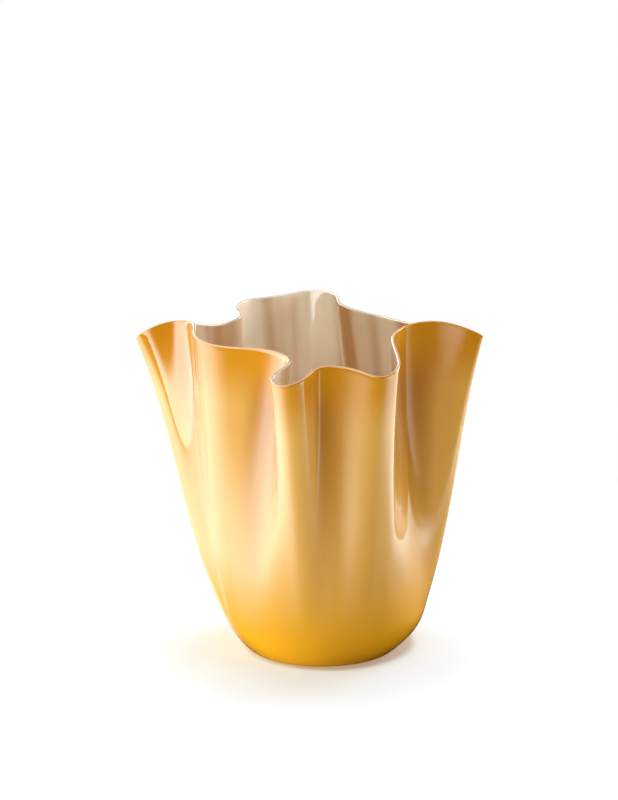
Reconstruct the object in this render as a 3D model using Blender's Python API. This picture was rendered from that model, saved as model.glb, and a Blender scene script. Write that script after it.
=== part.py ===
"""Handkerchief vase: one piece of blown glass, a round cup drawn up into a deeply folded rim.

The vase stands on a flat foot. Above the heel the wall is still round, and from there each
upright line of the wall runs to its own point of the rim, so that the folds deepen with height.
Metres, +Z up. The origin is the centre of the foot, and the front of the vase faces -Y.
"""
import math
from typing import NamedTuple

import bmesh
import bpy
import numpy as np

# Cup, up to the height where the wall is last round
FOOT_RADIUS = 0.066
HEEL_ANGLE = math.radians(40.0)
HEEL_FULLNESS = 0.30
CUP_RADIUS = 0.091
CUP_HEIGHT = 0.037
CUP_LEAN = 0.11

# Folds, from the cup to the rim
RIM_HEIGHT = 0.284
FOLD_START = 1.05
RIM_FLICK = 0.33
# Pull on the handles of a line for each metre that its middle bows out
BOW_PULL = 4.0

# Thickness of the glass
RIM_WALL = 0.0025
CUP_WALL = 0.005
FLOOR_THICKNESS = 0.009

# Mesh steps
STEPS_PER_SPAN = 3
HEEL_ROWS = 5
FOLD_ROWS = 10
LIP_ROWS = 3
BOWL_ROWS = 5

# Colours of the two layers that are fused into the one wall
CASING_COLOUR = (0.78, 0.36, 0.05, 1.0)
LINING_COLOUR = (0.86, 0.80, 0.70, 1.0)


class RimPoint(NamedTuple):
    """A point of the rim, the bearing on the cup that it is drawn up from, and how far its line bows."""

    name: str
    x: float
    y: float
    rise: float
    root: float
    bow: float


# The rim, round the vase from its left tip by way of the front. Rise is measured from RIM_HEIGHT,
# and root is a bearing in degrees, counted on past 360 so that it always grows. Bow is how far the
# line from the cup to the point bulges out, half way up.
RIM = (
    RimPoint("left tip", -0.160, 0.013, -0.013, 174, 0.000),
    RimPoint("left panel", -0.147, 0.007, -0.003, 189, 0.005),
    RimPoint("left hollow", -0.126, 0.012, 0.002, 202, 0.010),
    RimPoint("left pinch", -0.112, 0.000, 0.004, 206, 0.008),
    RimPoint("front left bulge", -0.110, -0.026, 0.002, 208, 0.003),
    RimPoint("front left corner", -0.101, -0.046, 0.000, 212, 0.002),
    RimPoint("front left panel", -0.079, -0.062, 0.000, 219, 0.000),
    RimPoint("front left end", -0.047, -0.077, 0.002, 230, 0.000),
    RimPoint("first crease", -0.029, -0.100, 0.000, 240, 0.004),
    RimPoint("first flank", -0.039, -0.117, -0.005, 248, 0.002),
    RimPoint("first fold left", -0.043, -0.134, -0.008, 255, 0.000),
    RimPoint("first fold", -0.032, -0.146, -0.009, 260, 0.000),
    RimPoint("first fold right", -0.015, -0.139, -0.005, 265, 0.000),
    RimPoint("front hollow left", -0.004, -0.119, -0.002, 271, 0.000),
    RimPoint("front hollow", 0.012, -0.116, -0.001, 279, 0.000),
    RimPoint("second fold left", 0.031, -0.124, -0.003, 286, 0.003),
    RimPoint("second fold", 0.048, -0.130, -0.006, 292, 0.002),
    RimPoint("second fold right", 0.062, -0.117, -0.004, 299, 0.000),
    RimPoint("second flank", 0.065, -0.092, -0.001, 306, 0.000),
    RimPoint("second crease", 0.061, -0.050, 0.002, 317, -0.002),
    RimPoint("right shoulder", 0.0655, -0.011, 0.000, 332, -0.005),
    RimPoint("right crest", 0.080, 0.008, 0.001, 343, -0.003),
    RimPoint("right panel", 0.110, 0.011, 0.000, 350, -0.001),
    RimPoint("right tip", 0.138, 0.012, -0.011, 358, 0.000),
    RimPoint("right back", 0.127, 0.033, -0.013, 367, 0.000),
    RimPoint("far right wall", 0.080, 0.057, -0.013, 386, 0.000),
    RimPoint("far right", 0.056, 0.077, -0.013, 399, 0.000),
    RimPoint("far right hollow", 0.035, 0.081, -0.009, 409, 0.000),
    RimPoint("back crease", 0.018, 0.088, -0.004, 420, 0.000),
    RimPoint("back flank", 0.015, 0.107, -0.003, 431, 0.000),
    RimPoint("back fold right", 0.004, 0.133, -0.005, 443, 0.000),
    RimPoint("back fold", -0.016, 0.139, -0.007, 455, 0.000),
    RimPoint("back panel", -0.040, 0.120, -0.006, 467, 0.000),
    RimPoint("back left fold", -0.065, 0.108, -0.006, 479, 0.000),
    RimPoint("back left flank", -0.076, 0.065, -0.003, 492, 0.000),
    RimPoint("left crease", -0.073, 0.031, 0.000, 503, 0.000),
    RimPoint("left hollow back", -0.088, 0.027, -0.005, 511, 0.000),
    RimPoint("left back", -0.109, 0.046, -0.010, 519, 0.000),
    RimPoint("left back tip", -0.144, 0.036, -0.014, 528, 0.000),
)

UP = np.array([0.0, 0.0, 1.0])


def unit(vectors):
    """Scale each vector to a length of one."""
    return vectors / np.linalg.norm(vectors, axis=-1, keepdims=True)


def closed_spline(points, steps):
    """Run a closed smooth cubic spline through rows of values, whose first three are a place.

    The knots are spaced by the square root of the distance between places.
    """
    count = len(points)
    after = np.roll(points, -1, axis=0)
    gap = np.sqrt(np.linalg.norm((after - points)[:, :3], axis=1))
    slope = (after - points) / gap[:, None]
    system = np.zeros((count, count))
    for i in range(count):
        system[i, i - 1] += gap[i - 1]
        system[i, i] += 2.0 * (gap[i - 1] + gap[i])
        system[i, (i + 1) % count] += gap[i]
    bend = np.linalg.solve(system, 6.0 * (slope - np.roll(slope, 1, axis=0)))
    bend_after = np.roll(bend, -1, axis=0)
    rows = []
    for step in range(steps):
        done = gap[:, None] * step / steps
        left = gap[:, None] - done
        curve = (bend * left ** 3 + bend_after * done ** 3) / (6.0 * gap[:, None])
        line = (points * left + after * done) / gap[:, None]
        rows.append(curve + line - gap[:, None] * (bend * left + bend_after * done) / 6.0)
    return np.stack(rows, axis=1).reshape(count * steps, -1)


def bezier(start, leave, arrive, end, rows):
    """Rings of points on the cubic curves from start to end, one curve for each column."""
    t = np.linspace(0.0, 1.0, rows + 1)[:, None, None]
    s = 1.0 - t
    return s ** 3 * start + 3 * s * s * t * leave + 3 * s * t * t * arrive + t ** 3 * end


def rim_columns():
    """The rim's points and, for each, the outward direction at its root on the cup and its bow."""
    turn = [math.radians(point.root) for point in RIM]
    table = [
        (p.x, p.y, RIM_HEIGHT + p.rise, math.cos(a) * CUP_RADIUS, math.sin(a) * CUP_RADIUS, p.bow)
        for p, a in zip(RIM, turn)
    ]
    run = closed_spline(np.array(table), STEPS_PER_SPAN)
    outward = np.hstack([run[:, 3:5], np.zeros((len(run), 1))])
    return run[:, :3], unit(outward), run[:, 5:6]


def outer_skin():
    """Rings of the outer skin: the heel from the foot to the cup's top, then the folds to the rim."""
    rim, outward, bow = rim_columns()
    foot = outward * FOOT_RADIUS
    cup = outward * CUP_RADIUS + UP * CUP_HEIGHT
    chord = rim - cup
    sideways = chord * (1.0, 1.0, 0.0)
    climb = chord[:, 2:3]
    push = BOW_PULL * bow * outward
    leave_cup = UP + CUP_LEAN * outward + (FOLD_START * sideways + push) / climb
    folds = bezier(
        cup,
        cup + leave_cup * climb / 3.0,
        rim - (chord + RIM_FLICK * sideways - push) / 3.0,
        rim,
        FOLD_ROWS,
    )
    handle = HEEL_FULLNESS * math.hypot(CUP_RADIUS - FOOT_RADIUS, CUP_HEIGHT)
    leave_foot = outward * math.cos(HEEL_ANGLE) + UP * math.sin(HEEL_ANGLE)
    heel = bezier(foot, foot + leave_foot * handle, cup - unit(leave_cup) * handle, cup, HEEL_ROWS)
    return heel, folds, outward


def skin_normals(rings):
    """Directions square to the skin, pointing out of the vase."""
    around = np.roll(rings, -1, axis=1) - np.roll(rings, 1, axis=1)
    upward = np.gradient(rings, axis=0)
    return unit(np.cross(around, upward))


def wall_rings():
    """All the rings of the glass, from the foot up the outside and down the inside to the floor."""
    heel, folds, outward = outer_skin()
    normals = skin_normals(np.concatenate([heel[:-1], folds]))[HEEL_ROWS:]
    height = np.linspace(0.0, 1.0, FOLD_ROWS + 1)[:, None, None]
    inside = folds - normals * (CUP_WALL + (RIM_WALL - CUP_WALL) * height)

    middle = (folds[-1] + inside[-1]) / 2.0
    across = (folds[-1] - inside[-1]) / 2.0
    edge_up = unit(folds[-1] - folds[-2]) * RIM_WALL / 2.0
    turns = [math.pi * row / (LIP_ROWS + 1) for row in range(1, LIP_ROWS + 1)]
    lip = np.array([middle + across * math.cos(a) + edge_up * math.sin(a) for a in turns])

    bowl_rim = inside[0]
    floor_centre = UP * FLOOR_THICKNESS
    down = unit(inside[0] - inside[1]) * np.linalg.norm(bowl_rim - floor_centre, axis=1)[:, None]
    bowl = bezier(
        bowl_rim,
        bowl_rim + down * HEEL_FULLNESS,
        floor_centre + outward * FOOT_RADIUS,
        floor_centre + outward * 0.0,
        BOWL_ROWS,
    )
    outside = np.concatenate([heel[:-1], folds, lip])
    return outside, np.concatenate([inside[:0:-1], bowl[:-1]])


def layer_material(name, colour, roughness):
    """A glossy opaque glass of one colour."""
    material = bpy.data.materials.new(name)
    material.use_nodes = True
    shader = material.node_tree.nodes["Principled BSDF"]
    shader.inputs["Base Color"].default_value = colour
    shader.inputs["Roughness"].default_value = roughness
    shader.inputs["Metallic"].default_value = 0.0
    shader.inputs["IOR"].default_value = 1.52
    material.diffuse_color = colour
    return material


def bridge(bm, low, high, layer):
    """Join two rings of vertices with four-sided faces."""
    count = len(low)
    for i in range(count):
        j = (i + 1) % count
        face = bm.faces.new((low[i], low[j], high[j], high[i]))
        face.material_index = layer
        face.smooth = True


def build_vase():
    """Make the vase as one closed mesh."""
    outside, inside = wall_rings()
    bm = bmesh.new()
    rings = [[bm.verts.new(place) for place in ring] for ring in np.concatenate([outside, inside])]
    bm.faces.new(reversed(rings[0]))
    for row in range(len(rings) - 1):
        layer = 0 if row < len(outside) - 1 else 1
        bridge(bm, rings[row], rings[row + 1], layer)
    floor = bm.verts.new(UP * FLOOR_THICKNESS)
    last = rings[-1]
    for i in range(len(last)):
        face = bm.faces.new((last[i], last[(i + 1) % len(last)], floor))
        face.material_index = 1
        face.smooth = True

    mesh = bpy.data.meshes.new("vase")
    bm.to_mesh(mesh)
    bm.free()
    mesh.materials.append(layer_material("amber_casing", CASING_COLOUR, 0.08))
    mesh.materials.append(layer_material("opal_lining", LINING_COLOUR, 0.12))
    vase = bpy.data.objects.new("vase", mesh)
    bpy.context.scene.collection.objects.link(vase)
    return vase


def main():
    """Clear the scene and build the vase in it."""
    for old in list(bpy.data.objects):
        bpy.data.objects.remove(old, do_unlink=True)
    build_vase()


main()
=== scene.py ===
"""Looks of a handkerchief vase of cased glass: amber outside, opal white inside, in a pale studio.

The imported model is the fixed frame. One finely stepped mesh stands for its glass and carries the
finishes of the casing, the lining and the fire-polished lip. Metres, +Z up, front towards -Y.
"""
from __future__ import annotations

import logging
import math
from dataclasses import dataclass, field
from enum import Enum

import bpy
import numpy as np
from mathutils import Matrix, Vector


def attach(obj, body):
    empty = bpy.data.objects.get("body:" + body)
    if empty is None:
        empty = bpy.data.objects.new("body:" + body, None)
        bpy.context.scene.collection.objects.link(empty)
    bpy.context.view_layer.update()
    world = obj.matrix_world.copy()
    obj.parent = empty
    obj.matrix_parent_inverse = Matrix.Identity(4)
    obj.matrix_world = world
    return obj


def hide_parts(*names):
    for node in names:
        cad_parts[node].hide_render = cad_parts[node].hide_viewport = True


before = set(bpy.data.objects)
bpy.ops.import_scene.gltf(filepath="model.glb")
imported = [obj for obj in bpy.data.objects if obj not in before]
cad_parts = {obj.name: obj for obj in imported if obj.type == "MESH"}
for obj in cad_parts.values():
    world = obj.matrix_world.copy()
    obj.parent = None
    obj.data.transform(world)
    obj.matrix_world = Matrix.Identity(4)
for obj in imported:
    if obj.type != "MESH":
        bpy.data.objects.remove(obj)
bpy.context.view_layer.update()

PHOTO_WIDTH = 618
PHOTO_HEIGHT = 800

LOG = logging.getLogger("handkerchief_vase")
UP = np.array([0.0, 0.0, 1.0])

# Linear red, green, blue and alpha; a place in metres; and from where a change begins to where it is full
Colour = tuple[float, float, float, float]
Place = tuple[float, float, float]
Stretch = tuple[float, float]

WHITE: Colour = (1.0, 1.0, 1.0, 1.0)
BLACK: Colour = (0.0, 0.0, 0.0, 1.0)

# The curve of a screen: straight and steep up to the knee, then a shifted power
SCREEN_FULL = 255.0
SCREEN_KNEE = 0.04045
SCREEN_SLOPE = 12.92
SCREEN_SHIFT = 0.055
SCREEN_POWER = 2.4


class Layer(Enum):
    """The finish that a stretch of the vase's wall takes, by material slot."""

    CASING = 0
    LIP = 1
    LINING = 2


class Attribute(Enum):
    """Values stored on the mesh for the finishes to read."""

    CLIMB = "climb"
    ROOT = "root_direction"
    EDGE = "edge"
    DEPTH = "casing_depth"
    HOLLOW = "hollow"


def linear_colour(red: float, green: float, blue: float) -> Colour:
    """Make a full colour from linear red, green and blue."""
    return red, green, blue, 1.0


def srgb(red: int, green: int, blue: int) -> Colour:
    """Turn a colour as seen on a screen into the linear values that shaders take.

    Args:
        red: Red from 0 to 255.
        green: Green from 0 to 255.
        blue: Blue from 0 to 255.

    Returns:
        Linear red, green and blue, and an alpha of one.
    """
    def linear(value: int) -> float:
        """Undo the screen's curve for one channel.

        Args:
            value: The channel from 0 to 255.

        Returns:
            Its linear share.
        """
        share = value / SCREEN_FULL
        if share <= SCREEN_KNEE:
            return share / SCREEN_SLOPE
        return ((share + SCREEN_SHIFT) / (1.0 + SCREEN_SHIFT)) ** SCREEN_POWER

    return linear_colour(linear(red), linear(green), linear(blue))


def unit(vectors: np.ndarray) -> np.ndarray:
    """Scale each vector along the last axis to a length of one."""
    return vectors / np.linalg.norm(vectors, axis=-1, keepdims=True)


def smooth_round(values: np.ndarray, passes: int) -> np.ndarray:
    """Even out the values of each ring, by a mean with both neighbours where the place counts twice.

    Args:
        values: A value for each place of each ring.
        passes: How often the mean is taken.

    Returns:
        The evened values.
    """
    for _ in range(passes):
        values = (np.roll(values, 1, axis=1) + 2.0 * values + np.roll(values, -1, axis=1)) / 4.0
    return values


def bezier(
    start: np.ndarray, leave: np.ndarray, arrive: np.ndarray, end: np.ndarray, rows: int
) -> np.ndarray:
    """Run one cubic curve for each column from start to end.

    Args:
        start: First point of each column.
        leave: Handle after the first point.
        arrive: Handle before the last point.
        end: Last point of each column.
        rows: Steps along the curves.

    Returns:
        Rings of points, rows + 1 of them.
    """
    t = np.linspace(0.0, 1.0, rows + 1)[:, None, None]
    s = 1.0 - t
    return s ** 3 * start + 3 * s * s * t * leave + 3 * s * t * t * arrive + t ** 3 * end


@dataclass(frozen=True)
class RimPoint:
    """A point of the rim, the bearing on the cup that it is drawn up from, and how far its line bows."""

    name: str
    x: float
    y: float
    rise: float
    root: float
    bow: float


@dataclass
class RimCurve:
    """The closed, wavy line of the rim, from the left tip round by way of the front.

    Rise is measured from height, and root is a bearing in degrees that always grows. Bow is how far
    the line from the cup to the point bulges out, half way up.
    """

    height: float = 0.284
    points: tuple[RimPoint, ...] = (
        RimPoint("left tip", -0.160, 0.013, -0.013, 174, 0.000),
        RimPoint("left panel", -0.147, 0.007, -0.003, 189, 0.005),
        RimPoint("left hollow", -0.126, 0.012, 0.002, 202, 0.010),
        RimPoint("left pinch", -0.112, 0.000, 0.004, 206, 0.008),
        RimPoint("front left bulge", -0.110, -0.026, 0.002, 208, 0.003),
        RimPoint("front left corner", -0.101, -0.046, 0.000, 212, 0.002),
        RimPoint("front left panel", -0.079, -0.062, 0.000, 219, 0.000),
        RimPoint("front left end", -0.047, -0.077, 0.002, 230, 0.000),
        RimPoint("first crease", -0.029, -0.100, 0.000, 240, 0.004),
        RimPoint("first flank", -0.039, -0.117, -0.005, 248, 0.002),
        RimPoint("first fold left", -0.043, -0.134, -0.008, 255, 0.000),
        RimPoint("first fold", -0.032, -0.146, -0.009, 260, 0.000),
        RimPoint("first fold right", -0.015, -0.139, -0.005, 265, 0.000),
        RimPoint("front hollow left", -0.004, -0.119, -0.002, 271, 0.000),
        RimPoint("front hollow", 0.012, -0.116, -0.001, 279, 0.000),
        RimPoint("second fold left", 0.031, -0.124, -0.003, 286, 0.003),
        RimPoint("second fold", 0.048, -0.130, -0.006, 292, 0.002),
        RimPoint("second fold right", 0.062, -0.117, -0.004, 299, 0.000),
        RimPoint("second flank", 0.065, -0.092, -0.001, 306, 0.000),
        RimPoint("second crease", 0.061, -0.050, 0.002, 317, -0.002),
        RimPoint("right shoulder", 0.0655, -0.011, 0.000, 332, -0.005),
        RimPoint("right crest", 0.080, 0.008, 0.001, 343, -0.003),
        RimPoint("right panel", 0.110, 0.011, 0.000, 350, -0.001),
        RimPoint("right tip", 0.138, 0.012, -0.011, 358, 0.000),
        RimPoint("right back", 0.127, 0.033, -0.013, 367, 0.000),
        RimPoint("far right wall", 0.080, 0.057, -0.013, 386, 0.000),
        RimPoint("far right", 0.056, 0.077, -0.013, 399, 0.000),
        RimPoint("far right hollow", 0.035, 0.081, -0.009, 409, 0.000),
        RimPoint("back crease", 0.018, 0.088, -0.004, 420, 0.000),
        RimPoint("back flank", 0.015, 0.107, -0.003, 431, 0.000),
        RimPoint("back fold right", 0.004, 0.133, -0.005, 443, 0.000),
        RimPoint("back fold", -0.016, 0.139, -0.007, 455, 0.000),
        RimPoint("back panel", -0.040, 0.120, -0.006, 467, 0.000),
        RimPoint("back left fold", -0.065, 0.108, -0.006, 479, 0.000),
        RimPoint("back left flank", -0.076, 0.065, -0.003, 492, 0.000),
        RimPoint("left crease", -0.073, 0.031, 0.000, 503, 0.000),
        RimPoint("left hollow back", -0.088, 0.027, -0.005, 511, 0.000),
        RimPoint("left back", -0.109, 0.046, -0.010, 519, 0.000),
        RimPoint("left back tip", -0.144, 0.036, -0.014, 528, 0.000),
    )

    def columns(self, steps: int) -> tuple[np.ndarray, np.ndarray, np.ndarray]:
        """Run a closed smooth cubic spline through the points.

        The knots are spaced by the square root of the distance between points.

        Args:
            steps: Places on the curve for each stretch between two points.

        Returns:
            The rim's places, and for each the outward direction at its root on the cup and its bow.
        """
        turn = [math.radians(point.root) for point in self.points]
        table = np.array([
            (p.x, p.y, self.height + p.rise, math.cos(a), math.sin(a), p.bow)
            for p, a in zip(self.points, turn)
        ])
        count = len(table)
        after = np.roll(table, -1, axis=0)
        gap = np.sqrt(np.linalg.norm((after - table)[:, :3], axis=1))[:, None]
        slope = (after - table) / gap
        system = np.zeros((count, count))
        for i in range(count):
            system[i, i - 1] += gap[i - 1, 0]
            system[i, i] += 2.0 * (gap[i - 1, 0] + gap[i, 0])
            system[i, (i + 1) % count] += gap[i, 0]
        bend = np.linalg.solve(system, 6.0 * (slope - np.roll(slope, 1, axis=0)))
        bend_after = np.roll(bend, -1, axis=0)
        rows = []
        for step in range(steps):
            done = gap * step / steps
            left = gap - done
            curve = (bend * left ** 3 + bend_after * done ** 3) / (6.0 * gap)
            line = (table * left + after * done) / gap
            rows.append(curve + line - gap * (bend * left + bend_after * done) / 6.0)
        run = np.stack(rows, axis=1).reshape(count * steps, -1)
        outward = np.hstack([run[:, 3:5], np.zeros((len(run), 1))])
        return run[:, :3], unit(outward), run[:, 5:6]


@dataclass
class Cup:
    """The round lower part: a flat foot, and a heel that curves up to where the folds begin."""

    foot_radius: float = 0.066
    heel_angle: float = math.radians(40.0)
    fullness: float = 0.30
    radius: float = 0.091
    height: float = 0.037
    lean: float = 0.11
    rows: int = 16

    def top(self, outward: np.ndarray) -> np.ndarray:
        """The ring where the heel ends and the folds begin."""
        return outward * self.radius + UP * self.height

    def heel(self, outward: np.ndarray, leave_cup: np.ndarray) -> np.ndarray:
        """Curve the outer skin up from the foot.

        Args:
            outward: Outward direction of each column.
            leave_cup: Direction in which each column leaves the cup's top.

        Returns:
            Rings from the foot's edge to the cup's top.
        """
        handle = self.fullness * math.hypot(self.radius - self.foot_radius, self.height)
        foot = outward * self.foot_radius
        leave_foot = outward * math.cos(self.heel_angle) + UP * math.sin(self.heel_angle)
        top = self.top(outward)
        return bezier(foot, foot + leave_foot * handle, top - unit(leave_cup) * handle, top, self.rows)


@dataclass
class FoldedWall:
    """The wall above the cup, whose columns run up to the rim's points and deepen the folds."""

    start: float = 1.05
    flick: float = 0.33
    bow_pull: float = 4.0
    rows: int = 66

    def rings(
        self, cup: Cup, rim: np.ndarray, outward: np.ndarray, bow: np.ndarray
    ) -> tuple[np.ndarray, np.ndarray]:
        """Draw the outer skin from the cup's top to the rim.

        Args:
            cup: The cup below.
            rim: Places of the rim.
            outward: Outward direction of each column at its root.
            bow: How far each column bulges out.

        Returns:
            Rings from the cup's top to the rim, and the direction in which each column sets off.
        """
        low = cup.top(outward)
        chord = rim - low
        sideways = chord * (1.0, 1.0, 0.0)
        climb = chord[:, 2:3]
        push = self.bow_pull * bow * outward
        leave = UP + cup.lean * outward + (self.start * sideways + push) / climb
        arrive = rim - (chord + self.flick * sideways - push) / 3.0
        return bezier(low, low + leave * climb / 3.0, arrive, rim, self.rows), leave


@dataclass
class Thickness:
    """How thick the glass is, from the floor to the lip."""

    rim: float = 0.0025
    cup: float = 0.005
    floor: float = 0.009
    lip_rows: int = 10
    bowl_rows: int = 18

    def inner_skin(self, folds: np.ndarray, normals: np.ndarray) -> np.ndarray:
        """Offset the folded wall inwards by a thickness that thins towards the rim."""
        height = np.linspace(0.0, 1.0, len(folds))[:, None, None]
        return folds - normals * (self.cup + (self.rim - self.cup) * height)

    def lip(self, outer: np.ndarray, inner: np.ndarray, below: np.ndarray) -> np.ndarray:
        """Round the edge over from the outer skin to the inner one.

        Args:
            outer: Top ring of the outer skin.
            inner: Top ring of the inner skin.
            below: The outer skin's ring under its top one.

        Returns:
            The rings between the two skins, in a half circle.
        """
        middle = (outer + inner) / 2.0
        across = (outer - inner) / 2.0
        edge_up = unit(outer - below) * self.rim / 2.0
        turns = [math.pi * row / (self.lip_rows + 1) for row in range(1, self.lip_rows + 1)]
        return np.array([middle + across * math.cos(a) + edge_up * math.sin(a) for a in turns])

    def bowl(self, inside: np.ndarray, outward: np.ndarray, cup: Cup) -> np.ndarray:
        """Curve the inner skin down from the wall to the middle of the floor.

        Args:
            inside: Rings of the inner skin, lowest first.
            outward: Outward direction of each column.
            cup: The cup outside it.

        Returns:
            Rings from the wall to just short of the floor's centre.
        """
        centre = UP * self.floor
        reach = np.linalg.norm(inside[0] - centre, axis=1)[:, None]
        down = unit(inside[0] - inside[1]) * reach * cup.fullness
        rings = bezier(
            inside[0], inside[0] + down, centre + outward * cup.foot_radius, centre + outward * 0.0,
            self.bowl_rows,
        )
        return rings[:-1]


class SocketKind(Enum):
    """Kinds of socket on a shader node group."""

    VALUE = "NodeSocketFloat"
    COLOUR = "NodeSocketColor"
    VECTOR = "NodeSocketVector"


@dataclass(frozen=True)
class NoiseSize:
    """How often a noise changes round the wall and up it, and how fine it is."""

    around: float
    along: float
    detail: float = 1.0
    roughness: float = 0.5


@dataclass
class NodeTree:
    """A thin layer over a node tree that adds nodes and joins them in one call."""

    tree: bpy.types.NodeTree

    def add(self, kind: str, **settings: object) -> bpy.types.Node:
        """Add a node and set its plain properties.

        Args:
            kind: Blender's name for the node's type.
            settings: Properties of the node, by name.

        Returns:
            The new node.
        """
        node = self.tree.nodes.new(kind)
        for name, value in settings.items():
            setattr(node, name, value)
        return node

    def feed(self, target: bpy.types.NodeSocket, source: object) -> None:
        """Join a socket to another, or give it a plain value.

        Args:
            target: The input socket.
            source: The socket to join to it, or its value.
        """
        if isinstance(source, bpy.types.NodeSocket):
            self.tree.links.new(source, target)
        else:
            target.default_value = source

    def math(self, operation: str, first: object, second: object = 0.0, third: object = 0.0) -> object:
        """Work out a number from up to three numbers or sockets.

        Args:
            operation: Blender's name for the operation.
            first: First number or socket.
            second: Second one, where the operation takes it.
            third: Third one, where the operation takes it.

        Returns:
            The socket that carries the result.
        """
        node = self.add("ShaderNodeMath", operation=operation)
        for socket, source in zip(node.inputs, (first, second, third)):
            self.feed(socket, source)
        return node.outputs[0]

    def remap(self, value: object, low: float, high: float, start: float = 0.0, end: float = 1.0) -> object:
        """Carry a value smoothly from start to end while it goes from low to high.

        Args:
            value: The socket that carries the value.
            low: Where the change begins.
            high: Where the change is full.
            start: The result before the change.
            end: The result after it.

        Returns:
            The socket that carries the result.
        """
        node = self.add("ShaderNodeMapRange", interpolation_type="SMOOTHSTEP")
        for name, source in (
            ("Value", value), ("From Min", low), ("From Max", high), ("To Min", start), ("To Max", end),
        ):
            self.feed(node.inputs[name], source)
        return node.outputs["Result"]

    def mix(self, share: object, first: object, second: object) -> object:
        """Blend two colours.

        Args:
            share: How much of the second colour shows.
            first: First colour or socket.
            second: Second colour or socket.

        Returns:
            The socket that carries the blend.
        """
        node = self.add("ShaderNodeMix", data_type="RGBA", clamp_factor=True)
        self.feed(node.inputs["Factor"], share)
        colours = [socket for socket in node.inputs if socket.type == "RGBA"]
        self.feed(colours[0], first)
        self.feed(colours[1], second)
        return next(socket for socket in node.outputs if socket.type == "RGBA")

    def grey(self, level: object) -> object:
        """Make a grey of a level.

        Args:
            level: The socket that carries the brightness.

        Returns:
            The socket that carries the grey.
        """
        node = self.add("ShaderNodeCombineColor")
        for channel in ("Red", "Green", "Blue"):
            self.feed(node.inputs[channel], level)
        return node.outputs["Color"]

    def distance(self, place: object, centre: Place = (0.0, 0.0, 0.0)) -> object:
        """Measure how far a place is from a centre.

        Args:
            place: The socket that carries the place.
            centre: The centre.

        Returns:
            The socket that carries the distance.
        """
        node = self.add("ShaderNodeVectorMath", operation="DISTANCE")
        self.feed(node.inputs[0], place)
        self.feed(node.inputs[1], centre)
        return node.outputs["Value"]

    def component(self, vector: object, axis: str) -> object:
        """Take one of a vector's three numbers.

        Args:
            vector: The socket that carries the vector.
            axis: X, Y or Z.

        Returns:
            The socket that carries the number.
        """
        node = self.add("ShaderNodeSeparateXYZ")
        self.feed(node.inputs[0], vector)
        return node.outputs[axis]

    def attribute(self, attribute: Attribute, output: str = "Fac") -> object:
        """Read a value that is stored on the mesh."""
        node = self.add("ShaderNodeAttribute", attribute_type="GEOMETRY", attribute_name=attribute.value)
        return node.outputs[output]

    def wall_group(self, tree: bpy.types.NodeTree) -> bpy.types.Node:
        """Add a group that reads where on the wall a place is.

        Args:
            tree: The group.

        Returns:
            The group's node.
        """
        node = self.add("ShaderNodeGroup", node_tree=tree)
        self.feed(node.inputs["Root"], self.attribute(Attribute.ROOT, "Vector"))
        self.feed(node.inputs["Climb"], self.attribute(Attribute.CLIMB))
        return node

    def noise(self, root: object, climb: object, size: NoiseSize) -> object:
        """Spread a noise over the wall.

        Args:
            root: The direction at the root of each column.
            climb: How far up the wall a place is.
            size: The noise's size.

        Returns:
            The socket that carries the noise, round one half.
        """
        around = self.add("ShaderNodeVectorMath", operation="SCALE")
        self.feed(around.inputs[0], root)
        self.feed(around.inputs["Scale"], size.around)
        rise = self.add("ShaderNodeCombineXYZ")
        self.feed(rise.inputs["Z"], self.math("MULTIPLY", climb, size.along))
        place = self.add("ShaderNodeVectorMath", operation="ADD")
        self.feed(place.inputs[0], around.outputs[0])
        self.feed(place.inputs[1], rise.outputs[0])
        noise = self.add("ShaderNodeTexNoise")
        for name, source in (
            ("Vector", place.outputs[0]), ("Scale", 1.0), ("Detail", size.detail),
            ("Roughness", size.roughness),
        ):
            self.feed(noise.inputs[name], source)
        return noise.outputs["Fac"]

    def rays(self) -> tuple[object, object]:
        """Tell which rays come straight from the camera, and which ones by way of a mirroring surface.

        Returns:
            A socket that is one for camera rays, and another that is one for mirrored rays.
        """
        path = self.add("ShaderNodeLightPath")
        mirror = self.math("MAXIMUM", path.outputs["Is Glossy Ray"], path.outputs["Is Transmission Ray"])
        return path.outputs["Is Camera Ray"], mirror


@dataclass(frozen=True)
class GroupSocket:
    """A named input or output of a node group."""

    name: str
    kind: SocketKind
    default: object = None


def new_group(
    name: str, inputs: tuple[GroupSocket, ...], outputs: tuple[GroupSocket, ...]
) -> tuple[NodeTree, object, object]:
    """Start a shader node group with its sockets.

    Args:
        name: The group's name.
        inputs: Its input sockets.
        outputs: Its output sockets.

    Returns:
        The tree, the group's input node and its output node.
    """
    tree = bpy.data.node_groups.new(name, "ShaderNodeTree")
    for socket in inputs:
        made = tree.interface.new_socket(name=socket.name, in_out="INPUT", socket_type=socket.kind.value)
        if socket.default is not None:
            made.default_value = socket.default
    for socket in outputs:
        tree.interface.new_socket(name=socket.name, in_out="OUTPUT", socket_type=socket.kind.value)
    nodes = NodeTree(tree)
    return nodes, nodes.add("NodeGroupInput"), nodes.add("NodeGroupOutput")


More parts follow.
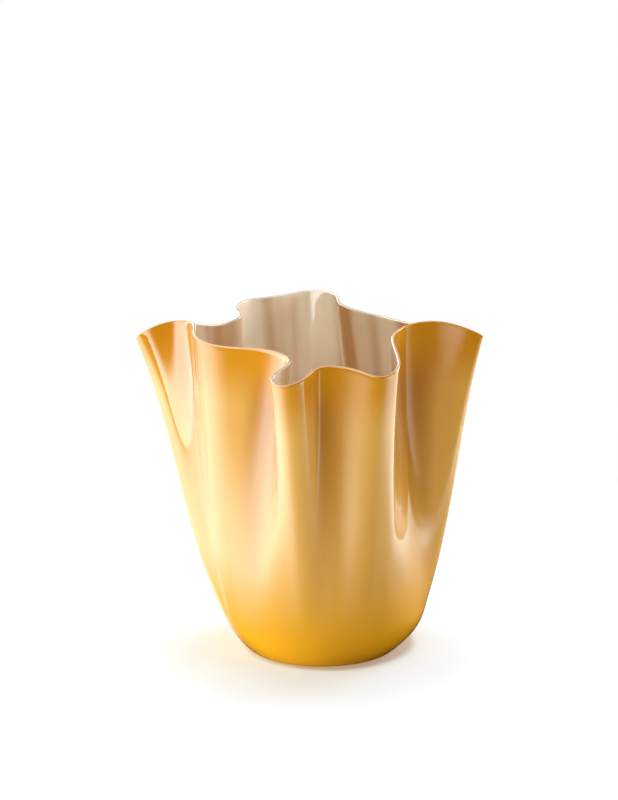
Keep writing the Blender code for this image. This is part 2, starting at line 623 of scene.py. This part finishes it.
@dataclass
class GlassEffects:
    """The node groups that the finishes share, each built once."""

    lines: NoiseSize = NoiseSize(around=6.0, along=0.8, detail=2.0, roughness=0.45)
    line_contrast: Stretch = (0.3, 0.7)
    waves: NoiseSize = NoiseSize(around=7.0, along=3.0)
    ripples: NoiseSize = NoiseSize(around=30.0, along=9.0)
    drawn_streaks_and_sheen: bpy.types.NodeTree = field(init=False)
    tooling: bpy.types.NodeTree = field(init=False)

    def __post_init__(self) -> None:
        """Build the groups."""
        self.drawn_streaks_and_sheen = self.build_drawn_streaks_and_sheen()
        self.tooling = self.build_tooling()

    def build_drawn_streaks_and_sheen(self) -> bpy.types.NodeTree:
        """Build soft uneven streaks that run up the wall: drawn glass in the casing, painted reflection in
        the lining.

        Returns:
            A group with the root direction and climb as inputs, and a mask from 0 to 1.
        """
        nodes, given, result = new_group(
            "drawn_streaks_and_sheen",
            (GroupSocket("Root", SocketKind.VECTOR), GroupSocket("Climb", SocketKind.VALUE, 0.0)),
            (GroupSocket("Mask", SocketKind.VALUE),),
        )
        noise = nodes.noise(given.outputs["Root"], given.outputs["Climb"], self.lines)
        nodes.feed(result.inputs["Mask"], nodes.remap(noise, *self.line_contrast))
        return nodes.tree

    def build_tooling(self) -> bpy.types.NodeTree:
        """Build the faint waves and ripples that hand shaping leaves in molten glass.

        Returns:
            A group with the root direction, climb and the share of each as inputs, and a height.
        """
        nodes, given, result = new_group(
            "tooling_waves",
            (
                GroupSocket("Root", SocketKind.VECTOR),
                GroupSocket("Climb", SocketKind.VALUE, 0.0),
                GroupSocket("Waves", SocketKind.VALUE, 1.0),
                GroupSocket("Ripples", SocketKind.VALUE, 0.0),
            ),
            (GroupSocket("Height", SocketKind.VALUE),),
        )
        parts = []
        for size, share in ((self.waves, "Waves"), (self.ripples, "Ripples")):
            noise = nodes.noise(given.outputs["Root"], given.outputs["Climb"], size)
            parts.append(nodes.math("MULTIPLY", noise, given.outputs[share]))
        nodes.feed(result.inputs["Height"], nodes.math("ADD", parts[0], parts[1]))
        return nodes.tree


@dataclass(frozen=True)
class GlassSkin:
    """What the three finishes have in common: a smooth, polished, opaque glass surface."""

    roughness: float = 0.07
    refraction: float = 1.52
    coat: float = 0.5
    coat_roughness: float = 0.03
    wave_strength: float = 0.12
    wave_depth: float = 0.0012
    waves: float = 1.0
    ripples: float = 0.06

    def start(self, name: str, effects: GlassEffects) -> tuple[bpy.types.Material, NodeTree, object]:
        """Make a material with the shared surface, whose base colour is still to be fed.

        Args:
            name: The material's name.
            effects: The shared node groups.

        Returns:
            The material, its nodes and its shader node.
        """
        material = bpy.data.materials.new(name)
        material.use_nodes = True
        nodes = NodeTree(material.node_tree)
        shader = material.node_tree.nodes["Principled BSDF"]
        for socket, value in (
            ("Roughness", self.roughness),
            ("IOR", self.refraction),
            ("Coat Weight", self.coat),
            ("Coat Roughness", self.coat_roughness),
        ):
            shader.inputs[socket].default_value = value
        waves = nodes.wall_group(effects.tooling)
        nodes.feed(waves.inputs["Waves"], self.waves)
        nodes.feed(waves.inputs["Ripples"], self.ripples)
        bump = nodes.add("ShaderNodeBump")
        nodes.feed(bump.inputs["Strength"], self.wave_strength)
        nodes.feed(bump.inputs["Distance"], self.wave_depth)
        nodes.feed(bump.inputs["Height"], waves.outputs["Height"])
        nodes.feed(shader.inputs["Normal"], bump.outputs["Normal"])
        return material, nodes, shader


@dataclass(frozen=True)
class AmberCasing:
    """The outer layer: amber over white, deep where the glass is thick and pale where it is drawn.

    The amber is deep in the heel and paler on the folds' crests. The valleys of the folds are darker,
    partly amber that pools there and partly painted shade. It darkens again to the edge under the lip.
    """

    deep: Colour = srgb(250, 184, 37)
    full: Colour = srgb(236, 181, 80)
    pale: Colour = srgb(238, 188, 102)
    # Darker colour for the valleys of the folds: partly amber that pools there, partly painted shade
    pooled_amber_and_shade: Colour = srgb(172, 106, 28)
    crest: Colour = srgb(240, 191, 92)
    edge: Colour = srgb(224, 156, 30)
    streak_middle: float = 0.5
    streak_share: float = 0.25
    thickness: Stretch = (0.35, 0.8)
    pooled_and_shaded_valleys: Stretch = (0.0, 0.9)
    crests: Stretch = (-0.1, -1.0)
    fold_share: float = 0.8
    heel_end: Stretch = (0.08, 0.34)
    rim_start: Stretch = (0.80, 0.98)
    skin: GlassSkin = GlassSkin()

    def colour(self, nodes: NodeTree, effects: GlassEffects) -> object:
        """Work out the amber's colour over the wall.

        Args:
            nodes: The material's nodes.
            effects: The shared node groups.

        Returns:
            The socket that carries the colour.
        """
        climb = nodes.attribute(Attribute.CLIMB)
        hollow = nodes.attribute(Attribute.HOLLOW)
        mask = nodes.wall_group(effects.drawn_streaks_and_sheen).outputs["Mask"]
        streak = nodes.math("SUBTRACT", mask, self.streak_middle)
        depth = nodes.math("MULTIPLY_ADD", streak, self.streak_share, nodes.attribute(Attribute.DEPTH))
        body = nodes.mix(nodes.remap(depth, *self.thickness), self.pale, self.full)
        # Darken the valleys of the folds: pooled amber and painted shade
        body = nodes.mix(nodes.remap(hollow, *self.pooled_and_shaded_valleys, 0.0, self.fold_share), body, self.pooled_amber_and_shade)
        body = nodes.mix(nodes.remap(hollow, *self.crests, 0.0, self.fold_share), body, self.crest)
        lower = nodes.mix(nodes.remap(climb, *self.heel_end, 1.0, 0.0), body, self.deep)
        return nodes.mix(nodes.remap(climb, *self.rim_start), lower, self.edge)

    def build(self, effects: GlassEffects) -> bpy.types.Material:
        """Make the material.

        Args:
            effects: The shared node groups.

        Returns:
            The material.
        """
        material, nodes, shader = self.skin.start("amber_casing", effects)
        nodes.feed(shader.inputs["Base Color"], self.colour(nodes, effects))
        return material


@dataclass(frozen=True)
class OpalLining:
    """The inner layer: white glass under a painted warm amber shade, which stands in for light through the
    casing and for shade in the bowl.

    It is whiter along its streaks, which are a painted reflection, and painted lighter towards the rim
    and in the recesses inside the folds' crests. Painted shade deepens its tint where a valley of the
    folds bulges into the bowl.
    """

    white: Colour = srgb(254, 245, 230)
    # Painted warm shade: amber light through the casing and shade inside the bowl
    painted_amber_shade: Colour = srgb(192, 138, 76)
    # Painted shade where a valley of the folds bulges into the bowl
    deep: Colour = srgb(206, 152, 84)
    # How much of the painted reflection the streaks show, as white over the painted warm shade
    streak_share: float = 0.9
    # Painted light towards the rim
    rise: Stretch = (0.3, 1.0)
    painted_rim_light_share: float = 0.12
    # Painted light in the recesses inside the crests, painted shade where a valley bulges inwards
    painted_light_recesses: Stretch = (0.1, -1.0)
    painted_shade_bulges: Stretch = (0.0, 0.9)
    painted_shade_share: float = 0.45
    skin: GlassSkin = GlassSkin(coat=0.25)

    def colour(self, nodes: NodeTree, effects: GlassEffects) -> object:
        """Work out the lining's colour over the wall.

        Args:
            nodes: The material's nodes.
            effects: The shared node groups.

        Returns:
            The socket that carries the colour.
        """
        hollow = nodes.attribute(Attribute.HOLLOW)
        streak = nodes.wall_group(effects.drawn_streaks_and_sheen).outputs["Mask"]
        rise = nodes.remap(nodes.attribute(Attribute.CLIMB), *self.rise, 0.0, self.painted_rim_light_share)
        # Painted warm shade, lifted to white by painted reflection streaks and painted light near the rim
        share = nodes.math("MULTIPLY_ADD", streak, self.streak_share, rise)
        lining = nodes.mix(share, self.painted_amber_shade, self.white)
        # Painted light in the recesses, then painted shade on the bulges
        lining = nodes.mix(nodes.remap(hollow, *self.painted_light_recesses), lining, self.white)
        return nodes.mix(nodes.remap(hollow, *self.painted_shade_bulges, 0.0, self.painted_shade_share), lining, self.deep)

    def build(self, effects: GlassEffects) -> bpy.types.Material:
        """Make the material.

        Args:
            effects: The shared node groups.

        Returns:
            The material.
        """
        material, nodes, shader = self.skin.start("opal_lining", effects)
        nodes.feed(shader.inputs["Base Color"], self.colour(nodes, effects))
        return material


@dataclass(frozen=True)
class FirePolishedLip:
    """The rounded edge, where both layers show: amber, then a pale band, a brown line and white.

    The stops say where on the way over the edge each colour stands, one for each colour of the ramp.
    """

    amber: Colour = srgb(214, 146, 40)
    band: Colour = srgb(222, 172, 98)
    line: Colour = srgb(118, 74, 24)
    white: Colour = srgb(236, 226, 214)
    stops: tuple[float, ...] = (0.0, 0.30, 0.42, 0.50, 0.62, 0.72)
    skin: GlassSkin = GlassSkin(roughness=0.2, coat=0.1)

    def build(self, effects: GlassEffects) -> bpy.types.Material:
        """Make the material.

        Args:
            effects: The shared node groups.

        Returns:
            The material.
        """
        material, nodes, shader = self.skin.start("fire_polished_lip", effects)
        ramp = nodes.add("ShaderNodeValToRGB")
        elements = ramp.color_ramp.elements
        colours = (self.amber, self.amber, self.band, self.line, self.line, self.white)
        for end in (0, -1):
            elements[end].position = self.stops[end]
            elements[end].color = colours[end]
        for place, colour in list(zip(self.stops, colours))[1:-1]:
            elements.new(place).color = colour
        nodes.feed(ramp.inputs["Fac"], nodes.attribute(Attribute.EDGE))
        nodes.feed(shader.inputs["Base Color"], ramp.outputs["Color"])
        return material


@dataclass
class Skin:
    """The vase's rings from the foot's edge over the lip to the floor's middle, and what they store.

    Climb and edge have a value for each ring. Depth and hollow have one for each place. The lip's faces
    start at the ring lip_start and end at the ring lip_end.
    """

    rings: np.ndarray
    outward: np.ndarray
    climb: np.ndarray
    edge: np.ndarray
    depth: np.ndarray
    hollow: np.ndarray
    lip_start: int
    lip_end: int


@dataclass
class Vase:
    """The whole vase, which is one piece of glass."""

    rim: RimCurve = field(default_factory=RimCurve)
    cup: Cup = field(default_factory=Cup)
    wall: FoldedWall = field(default_factory=FoldedWall)
    glass: Thickness = field(default_factory=Thickness)
    casing: AmberCasing = AmberCasing()
    lining: OpalLining = OpalLining()
    lip: FirePolishedLip = FirePolishedLip()
    steps_per_span: int = 12
    heel_share: float = 0.14
    depth_passes: int = 24
    hollow_reach: int = 9
    hollow_depth: float = 0.006

    def outer_rings(self) -> tuple[np.ndarray, np.ndarray]:
        """Draw the outer skin from the foot to the rim.

        Returns:
            The rings and the outward direction of each column.
        """
        rim, outward, bow = self.rim.columns(self.steps_per_span)
        folds, leave = self.wall.rings(self.cup, rim, outward, bow)
        heel = self.cup.heel(outward, leave)
        return np.concatenate([heel[:-1], folds]), outward

    @staticmethod
    def normals(rings: np.ndarray) -> np.ndarray:
        """Directions square to a skin, pointing out of the vase."""
        around = np.roll(rings, -1, axis=1) - np.roll(rings, 1, axis=1)
        return unit(np.cross(around, np.gradient(rings, axis=0)))

    def casing_depth(self, rings: np.ndarray, outward: np.ndarray) -> np.ndarray:
        """How much of its first thickness the casing keeps where the glass is drawn out sideways.

        Args:
            rings: The outer skin.
            outward: Outward direction of each column.

        Returns:
            A share for each place, one where the glass isn't stretched.
        """
        step = np.linalg.norm(np.roll(rings, -1, axis=1) - np.roll(rings, 1, axis=1), axis=2)
        first = np.linalg.norm(np.roll(outward, -1, axis=0) - np.roll(outward, 1, axis=0), axis=1)
        share = first[None, :] * np.median(step[0] / first) / step
        return np.clip(smooth_round(share, self.depth_passes), 0.0, 1.0)

    def hollowness(self, rings: np.ndarray, normals: np.ndarray) -> np.ndarray:
        """How deep each place lies in a valley of the folds or how sharp a crest it is, for pooled amber and
        painted light and shade.

        Args:
            rings: The outer skin.
            normals: Directions square to it.

        Returns:
            A value for each place, from -1 on a sharp crest to 1 in a deep valley.
        """
        reach = self.hollow_reach
        sides = (np.roll(rings, reach, axis=1) + np.roll(rings, -reach, axis=1)) / 2.0
        share = np.sum((sides - rings) * normals, axis=2) / self.hollow_depth
        return np.clip(smooth_round(share, reach), -1.0, 1.0)

    def skin(self) -> Skin:
        """Draw the whole skin and work out the values that it stores.

        Returns:
            The rings and their values.
        """
        outer, outward = self.outer_rings()
        normals = self.normals(outer)
        folds = outer[self.cup.rows:]
        inside = self.glass.inner_skin(folds, normals[self.cup.rows:])
        lip = self.glass.lip(folds[-1], inside[-1], folds[-2])
        bowl = self.glass.bowl(inside, outward, self.cup)[1:]
        rings = np.concatenate([outer, lip, inside[::-1], bowl])

        heel_climb = np.linspace(0.0, self.heel_share, self.cup.rows, endpoint=False)
        fold_climb = np.linspace(self.heel_share, 1.0, len(folds))
        bowl_climb = np.linspace(self.heel_share, 0.0, len(bowl) + 1)[1:]
        climb = np.concatenate([heel_climb, fold_climb, np.ones(len(lip)), fold_climb[::-1], bowl_climb])
        over = np.linspace(0.0, 1.0, len(lip) + 2)[1:-1]
        edge = np.concatenate([np.zeros(len(outer)), over, np.ones(len(inside) + len(bowl))])
        depth, hollow = (
            np.concatenate([values, np.repeat(values[-1:], len(rings) - len(outer), axis=0)])
            for values in (self.casing_depth(outer, outward), self.hollowness(outer, normals))
        )
        return Skin(rings, outward, climb, edge, depth, hollow, len(outer) - 1, len(outer) + len(lip))

    @staticmethod
    def faces(skin: Skin) -> tuple[list[tuple[int, ...]], list[int]]:
        """Join the rings, from the flat foot to the middle of the inner floor.

        Args:
            skin: The rings, whose points come first in the mesh, before the floor's middle.

        Returns:
            The points of each face, and each face's material slot.
        """
        rows, count = skin.rings.shape[:2]
        faces = [tuple(range(count - 1, -1, -1))]
        slots = [Layer.CASING.value]
        for row in range(rows - 1):
            layer = Layer.CASING
            if row >= skin.lip_start:
                layer = Layer.LIP if row < skin.lip_end else Layer.LINING
            first = row * count
            for i in range(count):
                j = (i + 1) % count
                faces.append((first + i, first + j, first + count + j, first + count + i))
                slots.append(layer.value)
        last = (rows - 1) * count
        middle = rows * count
        for i in range(count):
            faces.append((last + i, last + (i + 1) % count, middle))
            slots.append(Layer.LINING.value)
        return faces, slots

    def build(self) -> bpy.types.Object:
        """Build the vase's closed mesh with its stored values.

        Returns:
            The object, without materials.
        """
        skin = self.skin()
        count = len(skin.outward)
        faces, slots = self.faces(skin)
        points = np.vstack([skin.rings.reshape(-1, 3), UP * self.glass.floor])
        mesh = bpy.data.meshes.new("cased_glass_vase")
        mesh.from_pydata(points.tolist(), [], faces)
        mesh.polygons.foreach_set("material_index", slots)
        mesh.polygons.foreach_set("use_smooth", [False] + [True] * (len(faces) - 1))
        for attribute, values, middle in (
            (Attribute.CLIMB, np.repeat(skin.climb, count), 0.0),
            (Attribute.EDGE, np.repeat(skin.edge, count), 1.0),
            (Attribute.DEPTH, skin.depth, 1.0),
            (Attribute.HOLLOW, skin.hollow, 0.0),
        ):
            layer = mesh.attributes.new(attribute.value, "FLOAT", "POINT")
            layer.data.foreach_set("value", np.append(values, middle).astype(np.float32))
        roots = np.vstack([np.tile(skin.outward, (len(skin.rings), 1)), np.zeros(3)])
        vectors = mesh.attributes.new(Attribute.ROOT.value, "FLOAT_VECTOR", "POINT")
        vectors.data.foreach_set("vector", roots.astype(np.float32).ravel())
        mesh.validate()
        mesh.update()
        vase = bpy.data.objects.new("cased_glass_vase", mesh)
        bpy.context.scene.collection.objects.link(vase)
        return vase

    def dress(self, vase: bpy.types.Object, effects: GlassEffects) -> None:
        """Give the vase its three finishes and tie it to the frame.

        Args:
            vase: The vase's object.
            effects: The shared node groups.
        """
        for finish in (self.casing, self.lip, self.lining):
            vase.data.materials.append(finish.build(effects))
        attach(vase, "root")
        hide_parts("vase")


@dataclass(frozen=True)
class SoftBox:
    """A rectangular studio light that faces a point."""

    name: str
    place: Place
    aim: Place
    width: float
    height: float
    level: float
    in_gloss: bool = True

    def build(self) -> bpy.types.Object:
        """Hang the light, whose face is level times as bright as white.

        Returns:
            The lamp.
        """
        data = bpy.data.lights.new(self.name, "AREA")
        data.shape = "RECTANGLE"
        data.size = self.width
        data.size_y = self.height
        data.energy = self.level * math.pi * self.width * self.height
        lamp = bpy.data.objects.new(self.name, data)
        lamp.location = self.place
        towards = Vector(self.aim) - Vector(self.place)
        lamp.rotation_euler = towards.to_track_quat("-Z", "Y").to_euler()
        lamp.visible_camera = False
        lamp.visible_glossy = self.in_gloss
        bpy.context.scene.collection.objects.link(lamp)
        return lamp


@dataclass(frozen=True)
class Surround:
    """What the glass mirrors above and beyond the table.

    A dark room before the vase turns into a white backdrop along a stretch of the direction's Y. A
    white wing on the left grows along a stretch of its X.
    """

    room: Stretch = (-0.4, 0.2)
    room_level: float = 0.05
    backdrop_level: float = 1.2
    wing: Stretch = (0.12, -0.48)
    wing_level: float = 6.5

    def mirrored(self, nodes: NodeTree, direction: object) -> object:
        """Work out how bright a direction is in the glass, where one is white.

        Args:
            nodes: The nodes of the world or of the floor.
            direction: The socket that carries the direction.

        Returns:
            The socket that carries the brightness.
        """
        forward = nodes.component(direction, "Y")
        level = nodes.remap(forward, *self.room, self.room_level, self.backdrop_level)
        wing = nodes.remap(nodes.component(direction, "X"), *self.wing, 0.0, self.wing_level)
        return nodes.math("MAXIMUM", level, wing)


@dataclass(frozen=True)
class Table:
    """The bright table top as the glass mirrors it, and as it lights the vase from below.

    It fades across from bright on the left to plain, and at a slanting line behind the foot to the back
    level. It ends on the right and in front, and darkens towards the foot and in the vase's own shadow.
    A strip lies off on the right, and a patch of the table stays light at the left of the foot. Past
    the end, the surround shows. The bounce is the light that the table's left side throws upwards.
    """

    bright: float = 3.7
    plain: float = 0.6
    fade: Stretch = (-0.30, 0.08)
    right: Stretch = (0.76, 0.60)
    front: Stretch = (-0.54, -0.12)
    back: Stretch = (-0.235, 0.115)
    back_skew: float = 0.45
    back_level: float = 1.6
    foot_gap: Stretch = (0.08, 0.34)
    shadow_place: Place = (0.22, -0.06, 0.0)
    shadow_reach: Stretch = (0.12, 0.40)
    shadow_depth: float = 0.7
    end: Stretch = (1.25, 1.6)
    strip_left: Stretch = (0.40, 0.62)
    strip_right: Stretch = (0.95, 0.72)
    strip_front: Stretch = (-0.50, -0.10)
    strip_back: Stretch = (0.25, -0.05)
    strip_level: float = 1.6
    patch_side: Stretch = (-0.02, -0.10)
    patch_back: Stretch = (-0.04, 0.06)
    patch_level: float = 1.4
    bounce_side: Stretch = (0.06, -0.14)
    bounce: float = 1.75

    @staticmethod
    def within(nodes: NodeTree, *fades: tuple[object, Stretch]) -> object:
        """Multiply fades from nought to one, each of a value along a stretch.

        Args:
            nodes: The floor's nodes.
            fades: The socket of each value, and its stretch.

        Returns:
            The socket that carries the product.
        """
        share = nodes.remap(fades[0][0], *fades[0][1])
        for value, stretch in fades[1:]:
            share = nodes.math("MULTIPLY", share, nodes.remap(value, *stretch))
        return share

    def mirrored(self, nodes: NodeTree, place: object, surround: Surround) -> object:
        """Work out how bright each place of the table is in the glass.

        Args:
            nodes: The floor's nodes.
            place: The socket that carries the place.
            surround: What shows past the table's end.

        Returns:
            The socket that carries the brightness, where one is white.
        """
        across = nodes.component(place, "X")
        along = nodes.component(place, "Y")
        distance = nodes.distance(place)
        lit = self.within(nodes, (across, self.right), (along, self.front), (distance, self.foot_gap))
        shaded = nodes.distance(place, self.shadow_place)
        painted_shade = nodes.remap(shaded, *self.shadow_reach, 1.0 - self.shadow_depth, 1.0)
        level = nodes.remap(across, *self.fade, self.bright, self.plain)
        behind = nodes.math("MULTIPLY_ADD", across, self.back_skew, along)
        level = nodes.remap(behind, *self.back, level, self.back_level)
        near = nodes.math("MULTIPLY", nodes.math("MULTIPLY", lit, painted_shade), level)

        strip = self.within(
            nodes, (across, self.strip_left), (across, self.strip_right),
            (along, self.strip_front), (along, self.strip_back),
        )
        near = nodes.math("MULTIPLY_ADD", strip, self.strip_level, near)
        patch = self.within(nodes, (across, self.patch_side), (along, self.patch_back))
        near = nodes.math("MAXIMUM", near, nodes.math("MULTIPLY", patch, self.patch_level))

        outward = nodes.add("ShaderNodeVectorMath", operation="NORMALIZE")
        nodes.feed(outward.inputs[0], place)
        past = nodes.remap(distance, *self.end)
        beyond = nodes.math("MULTIPLY", past, surround.mirrored(nodes, outward.outputs[0]))
        return nodes.math("MULTIPLY_ADD", near, nodes.math("SUBTRACT", 1.0, past), beyond)


@dataclass
class Studio:
    """A pale floor, a white backdrop, a dark room before it and soft lights round the vase.

    The camera sees the floor by its own glow and what it catches of the lights, so shadows show. Near
    the foot the glow falls to a painted soft shade and a painted thin contact shadow. Far out the floor is
    plain white.
    """

    table: Table = Table()
    surround: Surround = Surround()
    floor_radius: float = 6.0
    floor_corners: int = 96
    floor_grey: Colour = linear_colour(0.5, 0.5, 0.5)
    floor_glow: Colour = linear_colour(0.74, 0.73, 0.73)
    floor_catch: Colour = linear_colour(0.36, 0.47, 0.66)
    # Painted soft shade near the foot, in the camera's view of the floor
    painted_shade: Colour = linear_colour(0.61, 0.55, 0.48)
    painted_shade_place: Place = (0.03, -0.035, 0.0)
    painted_shade_reach: Stretch = (0.07, 0.21)
    # Painted thin contact shadow round the foot
    painted_contact_shadow: Colour = linear_colour(0.34, 0.20, 0.11)
    contact_place: Place = (0.006, -0.002, 0.0)
    contact_reach: Stretch = (0.068, 0.079)
    clear: Stretch = (0.28, 0.55)
    ambient: Colour = linear_colour(0.35, 0.285, 0.17)
    lights: tuple[SoftBox, ...] = (
        SoftBox("key_left", (-1.00, -0.30, 1.05), (0.0, 0.0, 0.22), 0.6, 0.6, 1.9),
        SoftBox("right_fill", (1.20, -0.45, 0.40), (0.0, 0.0, 0.16), 0.5, 0.6, 3.5, in_gloss=False),
        SoftBox("right_back", (0.90, 0.60, 0.45), (0.0, 0.0, 0.16), 0.5, 0.6, 8.0),
        SoftBox("top", (0.10, 0.20, 1.3), (0.0, 0.0, 0.2), 0.8, 0.8, 4.0),
    )

    def build_world(self) -> None:
        """Surround the scene: white to the camera, the surround in mirrors, and a warm, low light."""
        world = bpy.data.worlds.new("pale_surround")
        world.use_nodes = True
        nodes = NodeTree(world.node_tree)
        background = world.node_tree.nodes["Background"]
        camera, mirror = nodes.rays()
        direction = nodes.add("ShaderNodeTexCoord").outputs["Generated"]
        grey = nodes.grey(self.surround.mirrored(nodes, direction))
        colour = nodes.mix(camera, nodes.mix(mirror, self.ambient, grey), WHITE)
        nodes.feed(background.inputs["Color"], colour)
        nodes.feed(background.inputs["Strength"], 1.0)
        bpy.context.scene.world = world

    def glow(self, nodes: NodeTree, place: object) -> object:
        """Work out the glow that the camera sees near the vase, with a painted soft shade and a painted
        contact shadow towards the foot.

        Args:
            nodes: The floor's nodes.
            place: The socket that carries the place.

        Returns:
            The socket that carries the glow's colour.
        """
        painted_shade = nodes.remap(nodes.distance(place, self.painted_shade_place), *self.painted_shade_reach)
        touch = nodes.remap(nodes.distance(place, self.contact_place), *self.contact_reach)
        return nodes.mix(touch, self.painted_contact_shadow, nodes.mix(painted_shade, self.painted_shade, self.floor_glow))

    def build_floor_material(self) -> bpy.types.Material:
        """Make the floor's material, with one look for the camera, one for mirrors and one for light.

        Returns:
            The material.
        """
        material = bpy.data.materials.new("pale_floor")
        material.use_nodes = True
        nodes = NodeTree(material.node_tree)
        nodes.tree.nodes.remove(nodes.tree.nodes["Principled BSDF"])
        camera, mirror = nodes.rays()
        place = nodes.add("ShaderNodeNewGeometry").outputs["Position"]
        clear = nodes.remap(nodes.distance(place), *self.clear)

        across = nodes.component(place, "X")
        bounce = nodes.remap(across, *self.table.bounce_side, 0.0, self.table.bounce)
        reflected = nodes.grey(self.table.mirrored(nodes, place, self.surround))
        unseen = nodes.mix(mirror, nodes.grey(bounce), reflected)
        seen = nodes.mix(clear, self.glow(nodes, place), WHITE)
        emission = nodes.add("ShaderNodeEmission")
        nodes.feed(emission.inputs["Color"], nodes.mix(camera, unseen, seen))

        caught = nodes.mix(clear, self.floor_catch, BLACK)
        catch = nodes.add("ShaderNodeBsdfDiffuse")
        plain = nodes.mix(mirror, self.floor_grey, BLACK)
        nodes.feed(catch.inputs["Color"], nodes.mix(camera, plain, caught))
        both = nodes.add("ShaderNodeAddShader")
        nodes.feed(both.inputs[0], emission.outputs[0])
        nodes.feed(both.inputs[1], catch.outputs[0])
        nodes.feed(nodes.tree.nodes["Material Output"].inputs["Surface"], both.outputs[0])
        return material

    def build_floor(self) -> None:
        """Lay the floor, which shows white but keeps the vase's soft warm shadow, partly caught from the
        lights and partly painted.
        """
        bpy.ops.mesh.primitive_circle_add(
            vertices=self.floor_corners, radius=self.floor_radius, fill_type="NGON", location=(0.0, 0.0, 0.0)
        )
        floor = bpy.context.object
        floor.name = "studio_floor"
        floor.data.materials.append(self.build_floor_material())

    def build(self) -> None:
        """Set up the surround, the floor, the lights and the colour view."""
        self.build_world()
        self.build_floor()
        for light in self.lights:
            light.build()
        bpy.context.scene.view_settings.view_transform = "Standard"


@dataclass(frozen=True)
class PhotoCamera:
    """A long lens that looks slightly down on the vase, framed as the photograph is."""

    elevation: float = math.radians(17.0)
    distance: float = 4.0
    target: Place = (-0.0112, 0.0, 0.2196)
    metres_per_pixel: float = 0.00086
    sensor: float = 36.0
    sight: float = 50.0

    def build(self) -> bpy.types.Object:
        """Place the camera and make it the scene's own.

        Returns:
            The camera.
        """
        data = bpy.data.cameras.new("photo_camera")
        data.sensor_width = self.sensor
        focal_pixels = self.distance / self.metres_per_pixel
        data.lens = focal_pixels * self.sensor / max(PHOTO_WIDTH, PHOTO_HEIGHT)
        data.clip_end = self.sight
        camera = bpy.data.objects.new("photo_camera", data)
        back = Vector((0.0, -math.cos(self.elevation), math.sin(self.elevation)))
        camera.location = Vector(self.target) + back * self.distance
        camera.rotation_euler = (-back).to_track_quat("-Z", "Y").to_euler()
        bpy.context.scene.collection.objects.link(camera)
        bpy.context.scene.camera = camera
        return camera


def main() -> None:
    """Build and dress the vase, then set the studio and the camera round it."""
    logging.basicConfig(level=logging.INFO, format="%(name)s: %(message)s")
    vase = Vase()
    piece = vase.build()
    vase.dress(piece, GlassEffects())
    LOG.info("%s: %d faces, rides on root", piece.name, len(piece.data.polygons))
    Studio().build()
    LOG.info("studio: floor, surround and lights")
    PhotoCamera().build()


if __name__ == "__main__":
    main()
